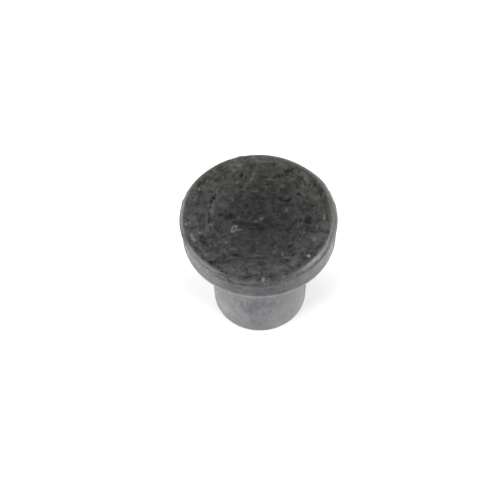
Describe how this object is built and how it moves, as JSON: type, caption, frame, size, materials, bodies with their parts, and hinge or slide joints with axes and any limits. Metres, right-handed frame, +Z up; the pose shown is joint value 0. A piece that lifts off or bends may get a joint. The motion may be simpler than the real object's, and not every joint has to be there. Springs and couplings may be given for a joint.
{
  "type": "drain plug",
  "caption": "Solid black rubber drain plug: a flat round head with rounded edges on a straight stem that presses into a round drain hole.",
  "frame": {"origin": "centre of the flat end of the stem, on which the plug stands", "axes": "+Z up the plug's axis, from the end of the stem to the head; the part is round, so +X and +Y are any two directions across it"},
  "size_m": [0.0252, 0.0252, 0.0247],
  "materials": {
    "rubber": "semi-matt moulded black rubber, mottled, with faint turned rings on the top face"
  },
  "bodies": {
    "root": {"plug": "rubber"}
  },
  "joints": []
}
